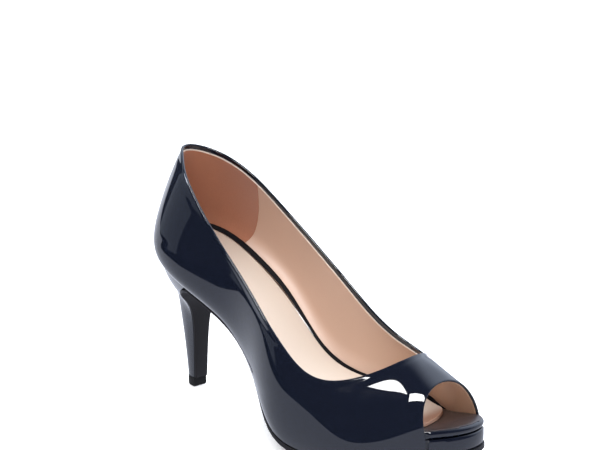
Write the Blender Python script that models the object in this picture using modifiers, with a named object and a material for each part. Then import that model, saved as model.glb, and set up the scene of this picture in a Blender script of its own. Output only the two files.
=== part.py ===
"""Peep toe pump: a right shoe with a slim high heel and a hidden platform.

Metres. +X points to the toe, +Y to the inner side of the foot and +Z up.
The origin is on the floor, under the centre of the heel's top piece.

Every piece follows one form, the last. The feather edge, where upper and
sole meet, is a closed outline walked by an angle: 0 at the back of the heel,
positive along the inner side, half a turn at the toe tip. From each point of
it a section climbs over the foot: climb is 0 at the feather edge and 1 on the
ridge along the top of the foot.
"""
import math

import bmesh
import bpy
import numpy as np

# Driving dimensions of the last
LAST_LENGTH = 0.218        # feather edge, heel back to toe tip
SEAT_WIDTH = 0.050
WAIST_WIDTH = 0.046
BALL_WIDTH = 0.079
HEEL_HEIGHT = 0.0858       # floor to the feather edge at the back
TOE_SPRING = 0.0072        # lift of the sole at the toe tip
INSTEP_HEIGHT = 0.0760     # feather edge to ridge, heel to waist
VAMP_HEIGHT = 0.0500       # feather edge to ridge at the throat
TOE_HEIGHT = 0.0290        # feather edge to ridge at the toe opening
BACK_LEAN = 0.0160         # the back of the topline stands this far forward
LEAN_HEIGHT = 0.0490       # height at which the lean is measured
SIDE_ROUNDING = 0.0064     # how far the counter swells over the feather edge
ROUNDING_HEIGHT = 0.0050   # height in which most of that swelling happens
HEEL_SETBACK = 0.0184      # feather edge at the back to the top piece's centre

# Driving dimensions of the heel
HEEL_TIP_WIDTH = 0.0084
HEEL_TIP_LENGTH = 0.0083
TOP_PIECE_HEIGHT = 0.0053
TOP_PIECE_LIP = 0.0002     # the rubber stands proud of the heel by this much
BREAST_STATION = 0.210     # where the heel's seat ends
BREAST_CLEARANCE = 0.0020  # from the seat's end to the sole's turn

# Thicknesses, rims and clearances
UPPER_WALL = 0.0016
OUTSOLE_FORE = 0.0030
OUTSOLE_WAIST = 0.0018
BREAST_FLAP = 0.0012
SOLE_EDGE = 0.0004         # the outsole stands proud of the feather edge
PLATFORM_THICKNESS = 0.0080
BOARD_FORE = 0.0045
BOARD_REAR = 0.0014
SOCK_THICKNESS = 0.0018
SOCK_MARGIN = 0.0030       # board left bare beside the sock
GROOVE = 0.0008            # the platform's cover sits back under the rim
EDGE_ROUND = 0.0006
WAIST_SOLE_END = 0.45      # station up to which the outsole is thin
FORE_SOLE_START = 0.65     # station from which it is full
REAR_BOARD_END = 0.50      # the same two stations for the insole board
FORE_BOARD_START = 0.68
GAP = 0.0003               # between pieces that are glued face to face
LASTING_GAP = 0.0006       # around the layers that the upper is pulled over
FLOOR = 0.0

# The feather edge. Inner and outer are half widths as shares of the named
# width. Rise is the underside's height as a share of the heel height, and
# spring a share of the toe spring. Build-up is a share of the platform.
FEATHER = (
    # station, width, inner, outer, rise, spring, build-up
    (0.00, SEAT_WIDTH, 0.020, 0.020, 0.979, 0.00, 0.00),
    (0.05, SEAT_WIDTH, 0.415, -0.320, 0.938, 0.00, 0.00),
    (0.12, SEAT_WIDTH, 0.508, -0.540, 0.868, 0.00, 0.00),
    (0.22, SEAT_WIDTH, 0.505, -0.585, 0.752, 0.00, 0.00),
    (0.35, WAIST_WIDTH, 0.511, -0.535, 0.563, 0.00, 0.00),
    (0.48, WAIST_WIDTH, 0.495, -0.692, 0.315, 0.00, 0.09),
    (0.60, BALL_WIDTH, 0.397, -0.547, 0.087, 0.00, 0.86),
    (0.70, BALL_WIDTH, 0.503, -0.510, 0.010, 0.00, 1.00),
    (0.80, BALL_WIDTH, 0.461, -0.438, 0.000, 0.00, 1.00),
    (0.90, BALL_WIDTH, 0.365, -0.305, 0.000, 0.70, 1.00),
    (0.97, BALL_WIDTH, 0.337, -0.090, 0.000, 1.00, 1.00),
    (1.00, BALL_WIDTH, 0.153, 0.153, 0.000, 1.00, 1.00),
)
# The section over the foot. Ridge is its height as a share of the named
# height. Swell and shoulder widen the wall low down and high up, as shares of
# the half width. Rounding is a share of the side rounding, and across is the
# ridge's place as a share of the ball width.
SECTIONS = (
    # station, height, ridge, swell, shoulder, rounding, across
    (0.00, INSTEP_HEIGHT, 1.00, 0.09, 0.10, 0.35, 0.013),
    (0.12, INSTEP_HEIGHT, 0.98, 0.16, 0.14, 0.88, 0.013),
    (0.28, INSTEP_HEIGHT, 0.98, 0.21, 0.40, 1.05, 0.013),
    (0.45, INSTEP_HEIGHT, 1.04, 0.25, 0.93, 0.39, 0.013),
    (0.60, INSTEP_HEIGHT, 1.03, 0.11, 0.84, 0.24, 0.013),
    (0.70, VAMP_HEIGHT, 1.16, 0.10, 0.95, 0.24, 0.040),
    (0.787, VAMP_HEIGHT, 1.03, 0.05, 0.63, 0.24, 0.110),
    (0.90, TOE_HEIGHT, 1.44, 0.04, 0.54, 0.24, 0.050),
    (0.97, TOE_HEIGHT, 1.02, 0.07, 0.84, 0.24, 0.100),
    (1.00, TOE_HEIGHT, 0.98, 0.14, 0.65, 0.24, 0.157),
)
WALL_LOW = (0.36, 0.50)    # height of the section's lower handle, heel and toe
# The topline: its climb on the inner and outer side. Reach is the station as
# a share of the throat's.
THROAT_STATION = 0.842
TOPLINE = (
    # reach, inner, outer
    (0.00, 0.516, 0.516),
    (0.08, 0.509, 0.525),
    (0.22, 0.491, 0.490),
    (0.40, 0.445, 0.398),
    (0.58, 0.470, 0.407),
    (0.76, 0.446, 0.471),
    (0.90, 0.612, 0.585),
    (1.00, 1.000, 1.000),
)
# The toe opening: its stations at the ridge and at the feather edge
OPENING_TOP = 0.936
OPENING_INNER = 0.953
OPENING_OUTER = 0.957
OPENING_FORM = 1.15        # above 1, the arch is flatter on top
# The sock's front edge, hidden on the outer side
SOCK_INNER_END = 0.835
SOCK_OUTER_END = 0.940
SOCK_CROWN = 0.0060        # how far its front edge bows forward
PLATFORM_START = 0.495

# The heel. Drop is the way down from seat to top piece. The others blend from
# the top piece, 0, to the seat, 1.
HEEL = (
    # drop, spread, breast, back
    (0.00, 1.000, 1.000, 1.000),
    (0.07, 0.820, 0.630, 0.960),
    (0.15, 0.600, 0.345, 0.905),
    (0.27, 0.270, 0.150, 0.795),
    (0.41, 0.095, 0.086, 0.560),
    (0.56, 0.042, 0.060, 0.390),
    (0.71, 0.022, 0.036, 0.230),
    (0.86, 0.010, 0.018, 0.100),
    (1.00, 0.000, 0.000, 0.000),
)

# Colours as linear red, green and blue, then roughness
PATENT = ((0.009, 0.013, 0.030), 0.08)
BLACK_SOLE = ((0.012, 0.012, 0.014), 0.50)
BOARD_COVER = ((0.020, 0.016, 0.020), 0.22)
CREAM = ((0.80, 0.62, 0.48), 0.60)


def column(table, number):
    """One column of a table."""
    return np.array([row[number] for row in table], float)


def smooth_curve(places, values, at, level_start=False):
    """Cubic curve through the values, read at other places."""
    places = np.asarray(places, float)
    values = np.asarray(values, float)
    count = len(places)
    step = np.diff(places)
    slope = np.diff(values) / step
    system = np.eye(count)
    right = np.zeros(count)
    for i in range(1, count - 1):
        system[i, i - 1:i + 2] = step[i - 1], 2 * (step[i - 1] + step[i]), step[i]
        right[i] = 6 * (slope[i] - slope[i - 1])
    if level_start:
        system[0, :2] = 2 * step[0], step[0]
        right[0] = 6 * slope[0]
    bend = np.linalg.solve(system, right)
    i = np.clip(np.searchsorted(places, at, side="right") - 1, 0, count - 2)
    after = places[i + 1] - at
    before = at - places[i]
    wide = step[i]
    curve = (bend[i] * after ** 3 + bend[i + 1] * before ** 3) / (6 * wide)
    return (curve + (values[i] / wide - bend[i] * wide / 6) * after
            + (values[i + 1] / wide - bend[i + 1] * wide / 6) * before)


def station_of(angle):
    """Share of the last's length at an angle around the feather edge."""
    return (1 - np.cos(angle)) / 2


def angle_of(station):
    return np.arccos(1 - 2 * np.asarray(station, float))


STATIONS = column(FEATHER, 0)
EDGE_ANGLES = angle_of(STATIONS)
TURN = 2 * math.pi
OVERLAP = 4                # knots repeated past each end of the closed outline


def closed_outline():
    """Knots of the feather edge's offset across, walked once around."""
    inner = column(FEATHER, 2) * column(FEATHER, 1)
    outer = column(FEATHER, 3) * column(FEATHER, 1)
    angles = np.concatenate([-EDGE_ANGLES[:0:-1], EDGE_ANGLES])
    across = np.concatenate([outer[:0:-1], inner])
    last = len(angles) - 1
    before = slice(last - OVERLAP, last)
    after = slice(1, 1 + OVERLAP)
    angles = np.concatenate([angles[before] - TURN, angles, angles[after] + TURN])
    across = np.concatenate([across[before], across, across[after]])
    return angles, across


OUTLINE_ANGLES, OUTLINE_ACROSS = closed_outline()


def edge_x(angle):
    return LAST_LENGTH * station_of(angle) - HEEL_SETBACK


def edge_y(angle):
    return smooth_curve(OUTLINE_ANGLES, OUTLINE_ACROSS, angle)


def station_at(x):
    return np.clip((x + HEEL_SETBACK) / LAST_LENGTH, 0.0, 1.0)


def sole_thickness(station):
    """Outsole thickness: thin under the waist, full under the ball."""
    blend = np.clip((station - WAIST_SOLE_END) / (FORE_SOLE_START - WAIST_SOLE_END), 0.0, 1.0)
    return OUTSOLE_WAIST + (OUTSOLE_FORE - OUTSOLE_WAIST) * blend * blend * (3 - 2 * blend)


def underside(station):
    """Height of the outsole's lower face, flat on the floor at the ball."""
    rise = smooth_curve(STATIONS, column(FEATHER, 4), station) * HEEL_HEIGHT
    spring = smooth_curve(STATIONS, column(FEATHER, 5), station) * TOE_SPRING
    return np.maximum(rise + spring, FLOOR)


def feather_height(station):
    """Height of the feather edge, where upper and platform stand."""
    rise = smooth_curve(STATIONS, column(FEATHER, 4), station) * HEEL_HEIGHT
    spring = smooth_curve(STATIONS, column(FEATHER, 5), station) * TOE_SPRING
    return rise + spring + sole_thickness(station)


def build_up(station):
    """Rise of the board over the outsole where the platform lies between."""
    share = smooth_curve(STATIONS, column(FEATHER, 6), station)
    return (PLATFORM_THICKNESS + GAP) * np.maximum(share, 0.0)


def board_thickness(station):
    blend = np.clip((station - REAR_BOARD_END) / (FORE_BOARD_START - REAR_BOARD_END), 0.0, 1.0)
    return BOARD_REAR + (BOARD_FORE - BOARD_REAR) * blend * blend * (3 - 2 * blend)


def outer_surface(angle, climb):
    """Points of the upper's outer face."""
    angle, climb = np.broadcast_arrays(np.asarray(angle, float), np.asarray(climb, float))
    station = station_of(angle)
    places = column(SECTIONS, 0)
    ridge = smooth_curve(places, column(SECTIONS, 1) * column(SECTIONS, 2), station)
    swell = smooth_curve(places, column(SECTIONS, 3), station)
    shoulder = smooth_curve(places, column(SECTIONS, 4), station)
    rounding = smooth_curve(places, column(SECTIONS, 5), station) * SIDE_ROUNDING
    centre = smooth_curve(places, column(SECTIONS, 6), station) * BALL_WIDTH
    low = WALL_LOW[0] + (WALL_LOW[1] - WALL_LOW[0]) * np.clip(station / 0.7, 0.0, 1.0)
    half = edge_y(angle) - centre
    rest = 1 - climb
    ends = rest ** 3 * half
    handles = 3 * rest ** 2 * climb * half * (1 + swell) + 3 * rest * climb ** 2 * half * shoulder
    up = ridge * (3 * rest ** 2 * climb * low + 3 * rest * climb ** 2 + climb ** 3)
    # the rounding pushes the wall out square to the feather edge
    tiny = 1e-3
    run = edge_x(angle + tiny) - edge_x(angle - tiny)
    drift = edge_y(angle + tiny) - edge_y(angle - tiny)
    length = np.hypot(run, drift)
    push = rounding * (1 - np.exp(-up / ROUNDING_HEIGHT)) * (1 - climb ** 2)
    lean = BACK_LEAN * ((1 + np.cos(angle)) / 2) ** 2 * (up / LEAN_HEIGHT) ** 1.6
    x = edge_x(angle) - drift / length * push + lean
    y = centre + ends + handles + run / length * push
    return np.stack([x, y, feather_height(station) + GAP + up], -1)


def inside_surface(angle, climb, depth):
    """Points at a depth behind the upper's outer face."""
    tiny = 1e-3
    along = outer_surface(angle + tiny, climb) - outer_surface(angle - tiny, climb)
    over = outer_surface(angle, climb + tiny) - outer_surface(angle, np.maximum(climb - tiny, 0.0))
    normal = np.cross(along, over)
    normal = normal / np.linalg.norm(normal, axis=-1, keepdims=True)
    return outer_surface(angle, climb) + normal * depth


def topline(turn):
    """Angle and climb along the topline; turn runs from -1 to 1, 0 at the back."""
    station = THROAT_STATION * (1 - np.cos(math.pi * turn)) / 2
    knots = angle_of(column(TOPLINE, 0)) / math.pi
    inner = smooth_curve(knots, column(TOPLINE, 1), np.abs(turn), level_start=True)
    outer = smooth_curve(knots, column(TOPLINE, 2), np.abs(turn), level_start=True)
    return angle_of(station), np.where(turn >= 0, inner, outer)


def opening(low, side):
    """Angle along the toe opening; low is 0 on the ridge, 1 at the sole."""
    end = OPENING_INNER if side > 0 else OPENING_OUTER
    station = OPENING_TOP + (end - OPENING_TOP) * np.sin(math.pi / 2 * low ** OPENING_FORM) ** 2
    return angle_of(station)


def wall_at_height(angle, height_of, depth):
    """Plan of the wall, at a depth behind its face, where a layer meets it."""
    climbs = np.linspace(0.0, 0.6, 25)
    wall = inside_surface(angle[:, None], climbs[None, :], depth)
    above = wall[..., 2] - height_of(station_at(wall[..., 0]))
    points = []
    for row, rise in zip(wall, above):
        points.append([np.interp(0.0, rise, row[:, k]) for k in range(2)])
    return np.array(points)


def new_mesh(name, verts, faces, material, smooth_angle=None):
    """A named object in the shoe's collection."""
    mesh = bpy.data.meshes.new(name)
    mesh.from_pydata([tuple(v) for v in verts], [], faces)
    work = bmesh.new()
    work.from_mesh(mesh)
    bmesh.ops.remove_doubles(work, verts=work.verts, dist=1e-6)
    bmesh.ops.recalc_face_normals(work, faces=work.faces)
    work.to_mesh(mesh)
    work.free()
    mesh.materials.append(material)
    obj = bpy.data.objects.new(name, mesh)
    bpy.data.collections[COLLECTION].objects.link(obj)
    if smooth_angle is not None:
        mesh.shade_smooth()
        mesh.set_sharp_from_angle(angle=math.radians(smooth_angle))
    return obj


def slab(name, inner, outer, material):
    """A closed solid from levels of an inner and an outer side line.

    Both are arrays of levels, places along the shoe and coordinates. Strips
    across join the two sides at the bottom and the top level.
    """
    levels, count = inner.shape[:2]
    verts = np.concatenate([inner.reshape(-1, 3), outer.reshape(-1, 3)])

    def at(side, level, place):
        return side * levels * count + level * count + place

    faces = []
    for k in range(levels - 1):
        for i in range(count - 1):
            faces.append((at(0, k, i), at(0, k, i + 1), at(0, k + 1, i + 1), at(0, k + 1, i)))
            faces.append((at(1, k, i), at(1, k + 1, i), at(1, k + 1, i + 1), at(1, k, i + 1)))
        for i in (0, count - 1):
            faces.append((at(0, k, i), at(0, k + 1, i), at(1, k + 1, i), at(1, k, i)))
    for i in range(count - 1):
        for k in (0, levels - 1):
            faces.append((at(0, k, i), at(1, k, i), at(1, k, i + 1), at(0, k, i + 1)))
    return new_mesh(name, verts, faces, material, 40)


def material(name, finish):
    colour, roughness = finish
    made = bpy.data.materials.new(name)
    made.use_nodes = True
    shader = made.node_tree.nodes["Principled BSDF"]
    shader.inputs["Base Color"].default_value = (*colour, 1.0)
    shader.inputs["Roughness"].default_value = roughness
    shader.inputs["Metallic"].default_value = 0.0
    made.diffuse_color = (*colour, 1.0)
    return made


def build_upper(finish):
    """The patent upper: an open sheet from feather edge to topline."""
    columns = 46
    rows = 12
    corner = 0.74              # share of the columns that end on the sole
    share = np.linspace(0.0, 1.0, columns + 1)
    rise = np.linspace(0.0, 1.0, rows + 1) ** 1.25
    sides = []
    for side in (1, -1):
        low = np.clip((1 - share) / (1 - corner), 0.0, 1.0)
        sole_angle = opening(np.array(1.0), side) * np.clip(share / corner, 0.0, 1.0)
        edge_angle = np.where(share < corner, sole_angle, opening(low, side))
        edge_climb = 1 - low
        top_angle, top_climb = topline(share * side)
        angle = edge_angle[:, None] + (top_angle - edge_angle)[:, None] * rise
        climb = edge_climb[:, None] + (top_climb - edge_climb)[:, None] * rise
        sides.append(outer_surface(angle * side, climb))
    inner, outer = sides
    ring = np.concatenate([inner, outer[-2:0:-1]])
    around = len(ring)
    faces = []
    for i in range(around):
        for k in range(rows):
            a = i * (rows + 1) + k
            b = (i + 1) % around * (rows + 1) + k
            faces.append((a, b, b + 1, a + 1))
    upper = new_mesh("upper", ring.reshape(-1, 3), faces, finish)
    upper.data.shade_smooth()
    wall = upper.modifiers.new("Wall", "SOLIDIFY")
    wall.thickness = UPPER_WALL
    wall.offset = -1.0
    wall.use_even_offset = True
    wall.thickness_clamp = 0.0
    return upper


def opening_sides(start, count_inside, count_front):
    """Angles along both sides, with a repeated pair at the toe opening."""
    clearance = 2 * GAP / LAST_LENGTH
    sides = []
    for side, end in ((1, OPENING_INNER), (-1, OPENING_OUTER)):
        step = angle_of(end + clearance)
        back = np.linspace(angle_of(start), step, count_inside)
        front = np.linspace(step, math.pi, count_front)
        sides.append(np.concatenate([back, front]) * side)
    return sides


def layer_line(angles, count_inside, height_of, setback):
    """One side line of a layer: inside the upper, then out to the rim."""
    inside = angles[:count_inside]
    front = angles[count_inside:]
    plan = wall_at_height(inside, height_of, UPPER_WALL + LASTING_GAP)
    tiny = 1e-3
    run = edge_x(front + tiny) - edge_x(front - tiny)
    drift = edge_y(front + tiny) - edge_y(front - tiny)
    length = np.hypot(run, drift)
    length = np.where(length < 1e-12, 1.0, length)
    rim = np.stack([edge_x(front) + drift / length * setback,
                    edge_y(front) - run / length * setback], -1)
    plan = np.concatenate([plan, rim])
    return np.column_stack([plan, height_of(station_at(plan[:, 0]))])


def layer(name, start, bottom_of, top_of, profile, finish):
    """A platform or board: profile rows hold the share up and the setback."""
    inside = 40
    front = 15
    both = opening_sides(start, inside, front)
    lines = []
    for angles in both:
        levels = []
        for share, setback in profile:
            def height_of(station, share=share):
                return bottom_of(station) + (top_of(station) - bottom_of(station)) * share
            levels.append(layer_line(angles, inside, height_of, setback))
        lines.append(np.array(levels))
    return slab(name, lines[0], lines[1], finish)


def platform_bottom(station):
    return feather_height(station) + GAP


def platform_top(station):
    return feather_height(station) + build_up(station)


def board_bottom(station):
    return feather_height(station) + GAP + build_up(station)


def board_top(station):
    return board_bottom(station) + board_thickness(station)


def build_platform(finish):
    profile = ((0.0, EDGE_ROUND), (0.10, 0.0), (0.88, 0.0), (1.0, GROOVE))
    return layer("platform", PLATFORM_START, platform_bottom, platform_top, profile, finish)


def build_board(finish):
    rim = BOARD_FORE / 2
    steps = 6
    profile = []
    for k in range(steps + 1):
        turn = math.pi * (k / steps - 0.5)
        profile.append(((1 + math.sin(turn)) / 2, rim * (1 - math.cos(turn))))
    return layer("insole_board", 0.0, board_bottom, board_top, profile, finish)


def build_sock(finish):
    """The padded sock, glued on the board and ending behind the opening."""
    along = 34
    across = 7
    walk = np.linspace(0.0, 1.0, along)
    sides = []
    for side, end in ((1, SOCK_INNER_END), (-1, SOCK_OUTER_END)):
        angle = walk * angle_of(end) * side
        sides.append(wall_at_height(angle, board_top, UPPER_WALL + GAP + SOCK_MARGIN))
    inner, outer = sides
    share = np.linspace(0.0, 1.0, across)[None, :, None]
    plan = inner[:, None, :] * (1 - share) + outer[:, None, :] * share
    crown = SOCK_CROWN * 4 * share[..., 0] * (1 - share[..., 0])
    plan[..., 0] = plan[..., 0] + crown * walk[:, None] ** 4
    height = board_top(station_at(plan[..., 0])) + GAP
    verts = np.concatenate([plan, height[..., None]], -1).reshape(-1, 3)
    faces = []
    for i in range(along - 1):
        for k in range(across - 1):
            a = i * across + k
            faces.append((a, a + 1, a + across + 1, a + across))
    sock = new_mesh("sock_lining", verts, faces, finish)
    sock.data.flip_normals()
    sock.data.shade_smooth()
    pad = sock.modifiers.new("Padding", "SOLIDIFY")
    pad.thickness = SOCK_THICKNESS
    pad.offset = 1.0
    pad.use_even_offset = True
    return sock


def heel_blend(number, drop):
    return np.clip(smooth_curve(column(HEEL, 0), column(HEEL, number), drop), 0.0, 1.0)


def heel_levels():
    return np.concatenate([np.linspace(0.0, 0.45, 10), np.linspace(0.55, 1.0, 5)])


def heel_line(side, drop, turn):
    """Point on the heel: turn is 0 at the back and 1 at the breast."""
    breast = angle_of(BREAST_STATION)
    angle = turn * breast * side
    half_seat = edge_y(np.array([breast * side]))[0]
    seat_front = edge_x(breast)
    seat_back = edge_x(0.0)
    seat_x = (edge_x(angle) - seat_back) / (seat_front - seat_back)
    seat_y = edge_y(angle) / half_seat
    tip_x = 1 - np.cos(turn * math.pi / 2)
    tip_y = np.sin(turn * math.pi / 2)
    form = heel_blend(1, drop) ** 0.5
    back = -HEEL_TIP_LENGTH / 2 + (seat_back + HEEL_TIP_LENGTH / 2) * heel_blend(3, drop)
    front = HEEL_TIP_LENGTH / 2 + (seat_front - HEEL_TIP_LENGTH / 2) * heel_blend(2, drop)
    half = HEEL_TIP_WIDTH / 2 * side
    half = half + (half_seat - half) * heel_blend(1, drop)
    x = back + (front - back) * (seat_x * form + tip_x * (1 - form))
    y = half * (seat_y * form + tip_y * (1 - form))
    top = feather_height(station_of(angle))
    bottom = TOP_PIECE_HEIGHT + GAP
    return np.stack([x, y, top + (bottom - top) * drop], -1)


def build_heel(finish):
    turn = np.sin(np.linspace(0.0, 1.0, 17) * math.pi / 2)
    lines = []
    for side in (1, -1):
        lines.append(np.array([heel_line(side, drop, turn) for drop in heel_levels()]))
    return slab("heel", lines[0], lines[1], finish)


def build_top_piece(finish):
    """The rubber under the heel, with its lower edge rounded."""
    turn = np.linspace(0.0, 1.0, 13) * math.pi / 2
    lines = []
    for side in (1, -1):
        levels = []
        for height, inset in ((0.0, EDGE_ROUND), (EDGE_ROUND, 0.0), (TOP_PIECE_HEIGHT, 0.0)):
            depth = HEEL_TIP_LENGTH + 2 * TOP_PIECE_LIP - 2 * inset
            half = HEEL_TIP_WIDTH / 2 + TOP_PIECE_LIP - inset
            x = -depth / 2 + depth * (1 - np.cos(turn))
            y = side * half * np.sin(turn)
            levels.append(np.column_stack([x, y, np.full(len(turn), height)]))
        lines.append(np.array(levels))
    return slab("top_piece", lines[0], lines[1], finish)


def sole_line(side):
    """Side line of forepart and waist, from the toe back to the breast."""
    corner = angle_of(BREAST_STATION + BREAST_CLEARANCE / LAST_LENGTH)
    walk = np.linspace(math.pi, corner, 50) * side
    tiny = 1e-3
    run = edge_x(walk + tiny) - edge_x(walk - tiny)
    drift = edge_y(walk + tiny) - edge_y(walk - tiny)
    length = np.hypot(run, drift)
    station = station_of(walk)
    forepart = np.clip((station - 0.35) / 0.2, 0.0, 1.0)
    levels = []
    for share, inset in ((0.0, EDGE_ROUND), (0.25, 0.0), (1.0, 0.0)):
        out = SOLE_EDGE * forepart - inset
        x = edge_x(walk) + drift / length * -out
        y = edge_y(walk) + run / length * out
        bottom = underside(station)
        top = feather_height(station)
        levels.append(np.column_stack([x, y, bottom + (top - bottom) * share]))
    return np.array(levels)


def flap_line(side):
    """Side line of the flap down the heel's breast."""
    drops = np.concatenate([np.linspace(0.05, 0.45, 11), np.linspace(0.52, 1.0, 6)])
    breast = np.array([heel_line(side, drop, np.array([1.0]))[0] for drop in drops])
    slope = np.gradient(breast[:, [0, 2]], axis=0)
    slope = slope / np.linalg.norm(slope, axis=1, keepdims=True)
    ahead = np.column_stack([-slope[:, 1], np.zeros(len(drops)), slope[:, 0]])
    levels = []
    for share, inset in ((1.0, EDGE_ROUND / 2), (0.75, 0.0), (0.0, 0.0)):
        line = breast + ahead * (GAP + BREAST_FLAP * share)
        line[:, 1] = line[:, 1] - side * inset
        levels.append(line)
    return np.array(levels)


def build_outsole(finish):
    """Outsole: forepart and waist, then a flap down the heel's breast."""
    lines = []
    for side in (1, -1):
        lines.append(np.concatenate([sole_line(side), flap_line(side)], axis=1))
    return slab("outsole", lines[0], lines[1], finish)


COLLECTION = "peep_toe_pump"


def main():
    for obj in list(bpy.data.objects):
        bpy.data.objects.remove(obj, do_unlink=True)
    bpy.context.scene.collection.children.link(bpy.data.collections.new(COLLECTION))
    patent = material("navy_patent", PATENT)
    cover = material("board_cover", BOARD_COVER)
    build_upper(patent)
    build_outsole(material("black_sole", BLACK_SOLE))
    build_platform(patent)
    build_board(cover)
    build_sock(material("cream_sock", CREAM))
    build_heel(patent)
    build_top_piece(material("black_rubber", BLACK_SOLE))


main()
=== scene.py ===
# %% [markdown]
# # A peep toe pump in navy patent leather
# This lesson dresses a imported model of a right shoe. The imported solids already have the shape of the
# last, so the lesson adds what a shoemaker adds after lasting: folded edges, linings, a padded sock,
# covers and finishes, and then the light that a gloss leather needs.

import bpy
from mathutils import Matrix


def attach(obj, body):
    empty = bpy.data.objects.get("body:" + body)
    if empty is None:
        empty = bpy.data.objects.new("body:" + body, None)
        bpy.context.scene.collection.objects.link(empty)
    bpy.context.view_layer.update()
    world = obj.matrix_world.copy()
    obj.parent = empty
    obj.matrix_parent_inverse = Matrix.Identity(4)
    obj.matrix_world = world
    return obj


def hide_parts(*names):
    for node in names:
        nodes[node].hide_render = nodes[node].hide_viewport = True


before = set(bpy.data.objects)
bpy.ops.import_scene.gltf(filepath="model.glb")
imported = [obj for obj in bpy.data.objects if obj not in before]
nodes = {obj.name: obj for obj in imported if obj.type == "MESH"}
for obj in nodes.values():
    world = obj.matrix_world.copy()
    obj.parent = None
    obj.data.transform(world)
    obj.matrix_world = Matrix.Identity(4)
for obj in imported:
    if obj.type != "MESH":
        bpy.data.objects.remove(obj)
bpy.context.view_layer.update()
print("nodes:", sorted(nodes))

# %% [markdown]
# ## Tools of the lesson
# Operators act on what is selected, and in the mode in which a piece is. The mesh data could be
# changed directly instead, but operators are what a reader finds in the menus, so a few small helpers
# select one piece, enter and leave its edit mode, and apply its modifiers.

# %% Modules and helpers for the whole lesson
import math

import bpy
import numpy as np
from mathutils import Matrix, Vector

MM = 0.001
scene = bpy.context.scene


def work_on(piece):
    """Select one piece alone, so that an operator acts on nothing else."""
    for other in bpy.context.selected_objects:
        other.select_set(False)
    piece.select_set(True)
    bpy.context.view_layer.objects.active = piece


def in_edit_mode(piece):
    """Open one piece for editing, with all of it selected."""
    work_on(piece)
    bpy.ops.object.mode_set(mode="EDIT")
    bpy.ops.mesh.select_all(action="SELECT")


def leave_edit_mode():
    bpy.ops.object.mode_set(mode="OBJECT")


def apply_modifiers(piece):
    work_on(piece)
    for modifier in list(piece.modifiers):
        bpy.ops.object.modifier_apply(modifier=modifier.name)


def smooth_up_to(piece, degrees):
    """Shade a piece smooth and keep the edges that are sharper than an angle."""
    work_on(piece)
    bpy.ops.object.shade_smooth_by_angle(angle=math.radians(degrees))


def count(piece):
    triangles = sum(len(face.vertices) - 2 for face in piece.data.polygons)
    print(piece.name, "has", triangles, "triangles")


# %% [markdown]
# ## The camera
# The camera stands in front of the toe on the outer side and looks down a little. A long lens far
# away keeps the shoe's proportions, as in a catalogue. The shoe sits low in the picture. Tilting the
# camera up would also do that, but it would change the shape of everything upright, so the sensor is
# shifted instead.

# %% Camera
IMAGE_WIDTH = 600
IMAGE_HEIGHT = 450
AIM = Vector((0.0966, 0.0010, 0.0617))
AIM_PIXEL = (314.7, 313.1)
AZIMUTH = math.radians(46.93)
ELEVATION = math.radians(16.89)
ROLL = math.radians(-0.42)
DISTANCE = 1.235
FOCAL_PIXELS = 2371
SENSOR_WIDTH = 36           # mm
NEAREST_SEEN = 0.01

back = Vector((math.sin(AZIMUTH) * math.cos(ELEVATION),
               -math.cos(AZIMUTH) * math.cos(ELEVATION),
               math.sin(ELEVATION)))
level = Vector((math.cos(AZIMUTH), math.sin(AZIMUTH), 0.0))
upright = back.cross(level)
right = level * math.cos(ROLL) + upright * math.sin(ROLL)
up = upright * math.cos(ROLL) - level * math.sin(ROLL)

bpy.ops.object.camera_add(location=AIM + back * DISTANCE)
camera = bpy.context.object
camera.name = "camera"
camera.rotation_euler = Matrix((right, up, back)).transposed().to_euler()
camera.data.sensor_width = SENSOR_WIDTH
camera.data.lens = SENSOR_WIDTH * FOCAL_PIXELS / IMAGE_WIDTH
camera.data.shift_x = (IMAGE_WIDTH / 2 - AIM_PIXEL[0]) / IMAGE_WIDTH
camera.data.shift_y = (AIM_PIXEL[1] - IMAGE_HEIGHT / 2) / IMAGE_WIDTH
camera.data.clip_start = NEAREST_SEEN
scene.camera = camera
print("lens", round(camera.data.lens, 1), "mm, shift", round(camera.data.shift_y, 3))

# %% [markdown]
# ## The studio
# Gloss leather shows what stands around it more than its own colour, so the set is built for its
# reflections. One big lamp would be simpler, but it would give one highlight in the wrong place. The
# highlights to be matched ask for a white ground that ends about 30 cm from the shoe, two panes of
# light high up on the outer side, and weaker ones behind. So the floor comes first: plain, pale and
# glowing a little, so that it stays white under the shoe.

# %% Floor
FLOOR_SIZE = 9.0
FLOOR_GLOW = 0.48
FLOOR_WHITE = (0.90, 0.90, 0.91, 1)

bpy.ops.mesh.primitive_plane_add(size=FLOOR_SIZE, location=(0, 0, 0))
floor = bpy.context.object
floor.name = "studio_floor"
floor_paint = bpy.data.materials.new("floor_paint")
floor_paint.use_nodes = True
floor_shader = floor_paint.node_tree.nodes["Principled BSDF"]
floor_shader.inputs["Base Color"].default_value = FLOOR_WHITE
floor_shader.inputs["Roughness"].default_value = 0.9
floor_shader.inputs["Specular IOR Level"].default_value = 0.0
floor_shader.inputs["Emission Color"].default_value = (1.0, 1.0, 1.0, 1)
floor_shader.inputs["Emission Strength"].default_value = FLOOR_GLOW
floor.data.materials.append(floor_paint)
print("floor:", FLOOR_SIZE, "m wide")

# %% [markdown]
# ## Cards for the reflections
# A photographer puts white and black cards beside gloss leather. Here they are seen by glossy rays
# only. Real cards could stand there too, but they would also block light and show in the picture.

# %% Cards that only reflections see


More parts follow.
